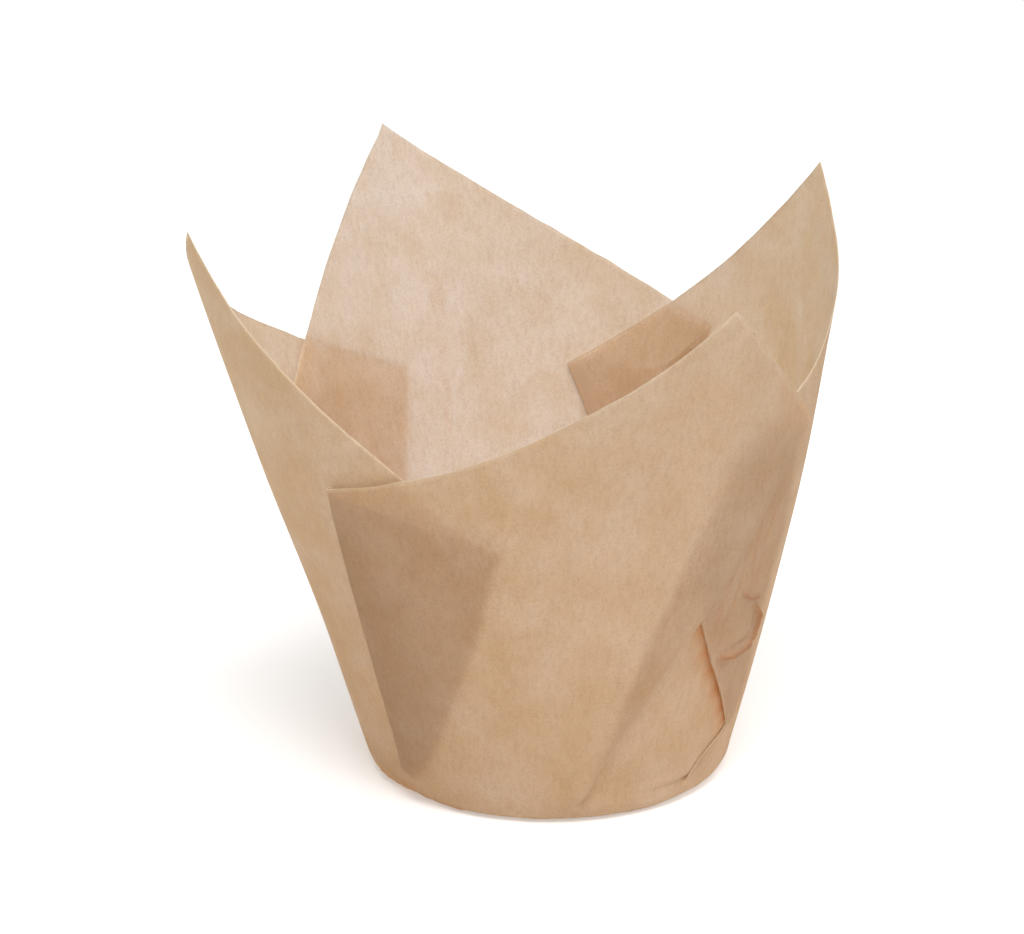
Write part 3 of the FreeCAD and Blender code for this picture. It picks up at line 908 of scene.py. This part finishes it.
def add_world():
    """Pale light, brighter from some sides, over a white background."""
    world = bpy.data.worlds.new("studio")
    world.use_nodes = True
    nodes = world.node_tree.nodes
    links = world.node_tree.links
    nodes.clear()
    light = nodes.new("ShaderNodeBackground")
    light.inputs["Color"].default_value = (*SKY_TONE, 1.0)
    place = nodes.new("ShaderNodeTexCoord")
    total = None
    for direction, strength in SKY_SIDES:
        slant = nodes.new("ShaderNodeVectorMath")
        slant.operation = "DOT_PRODUCT"
        slant.inputs[1].default_value = direction
        links.new(place.outputs["Generated"], slant.inputs[0])
        level = nodes.new("ShaderNodeMapRange")
        level.interpolation_type = "SMOOTHSTEP"
        level.inputs["From Min"].default_value = SKY_EDGE
        level.inputs["From Max"].default_value = 1.0
        level.inputs["To Min"].default_value = SKY_LEVEL if total is None else 0.0
        level.inputs["To Max"].default_value = strength + level.inputs["To Min"].default_value
        links.new(slant.outputs["Value"], level.inputs["Value"])
        if total is None:
            total = level.outputs["Result"]
        else:
            both = nodes.new("ShaderNodeMath")
            links.new(total, both.inputs[0])
            links.new(level.outputs["Result"], both.inputs[1])
            total = both.outputs[0]
    links.new(total, light.inputs["Strength"])
    white = nodes.new("ShaderNodeBackground")
    white.inputs["Color"].default_value = (1.0, 1.0, 1.0, 1.0)
    white.inputs["Strength"].default_value = 1.0
    mixed = nodes.new("ShaderNodeMixShader")
    links.new(seen_directly(nodes, links), mixed.inputs["Fac"])
    links.new(light.outputs[0], mixed.inputs[1])
    links.new(white.outputs[0], mixed.inputs[2])
    output = nodes.new("ShaderNodeOutputWorld")
    links.new(mixed.outputs[0], output.inputs["Surface"])
    bpy.context.scene.world = world


def add_lamp(name, place, aim, size, watts):
    """A square soft lamp that points at a place."""
    data = bpy.data.lights.new(name, "AREA")
    data.size = size
    data.energy = watts
    lamp = bpy.data.objects.new(name, data)
    lamp.location = place
    lamp.rotation_euler = (Vector(aim) - Vector(place)).to_track_quat("-Z", "Y").to_euler()
    bpy.context.scene.collection.objects.link(lamp)


def add_floor():
    """A plain white floor that keeps the object's shadow."""
    mesh = bpy.data.meshes.new("floor")
    corners = ((-1.0, -1.0), (1.0, -1.0), (1.0, 1.0), (-1.0, 1.0))
    places = [(x * FLOOR_HALF, y * FLOOR_HALF, FLOOR_LEVEL) for x, y in corners]
    mesh.from_pydata(places, [], [(0, 1, 2, 3)])
    floor = bpy.data.objects.new("floor", mesh)
    bpy.context.scene.collection.objects.link(floor)
    material = bpy.data.materials.new("white_floor")
    material.use_nodes = True
    nodes = material.node_tree.nodes
    links = material.node_tree.links
    nodes.clear()
    matt = nodes.new("ShaderNodeBsdfDiffuse")
    matt.inputs["Color"].default_value = (FLOOR_TONE, FLOOR_TONE, FLOOR_TONE, 1.0)
    glow = nodes.new("ShaderNodeEmission")
    lift = nodes.new("ShaderNodeMath")
    lift.operation = "MULTIPLY"
    lift.inputs[1].default_value = FLOOR_LIFT
    links.new(seen_directly(nodes, links), lift.inputs[0])
    links.new(lift.outputs[0], glow.inputs["Strength"])
    total = nodes.new("ShaderNodeAddShader")
    links.new(matt.outputs[0], total.inputs[0])
    links.new(glow.outputs[0], total.inputs[1])
    output = nodes.new("ShaderNodeOutputMaterial")
    links.new(total.outputs[0], output.inputs["Surface"])
    mesh.materials.append(material)


def make_liner():
    """The paper itself, in place of the plain solid."""
    liner = Liner()
    wall, azimuth, height, names = sheet_grid(liner)
    base, turn, low = base_and_corner(liner, wall)
    grid = np.concatenate([base, wall], axis=1)
    azimuth = np.concatenate([np.repeat(turn[:, None], low.size, axis=1), azimuth], axis=1)
    height = np.concatenate([np.repeat(low[None], len(grid), axis=0), height], axis=1)
    grid = grid + normals_of(grid) * rolling(grid)[..., None]
    grid, marks = creased(grid, azimuth, height, names)
    grid = rough_rim(dented(grid, azimuth, height), height)
    # Painted shade beside the tuck's standing fold, added to the creases' painted shade
    marks = np.maximum(marks, fold_painted_shade(liner, azimuth, height, names))
    # Painted light and shade for each petal, eased round the cup by azimuth
    places = [petal["azimuth"] % 360.0 for petal in PETALS.values()]
    petal_painted_light = np.interp(azimuth, places, list(PETAL_PAINTED_LIGHT.values()), period=360.0)
    piece = build_mesh("liner_paper", grid, texture_places(grid, height, names),
                       {"crease_shade": marks, "petal_painted_light": petal_painted_light})
    material = paper_material()
    piece.data.materials.append(material)
    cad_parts["liner"].data.materials.clear()
    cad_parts["liner"].data.materials.append(material)
    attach(piece, "root")
    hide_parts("liner")


def main():
    bpy.context.scene.view_settings.view_transform = "Standard"
    add_camera()
    add_world()
    add_lamp("key", KEY_PLACE, KEY_AIM, KEY_SIZE, KEY_WATTS)
    add_floor()
    make_liner()
    bpy.context.view_layer.update()


main()
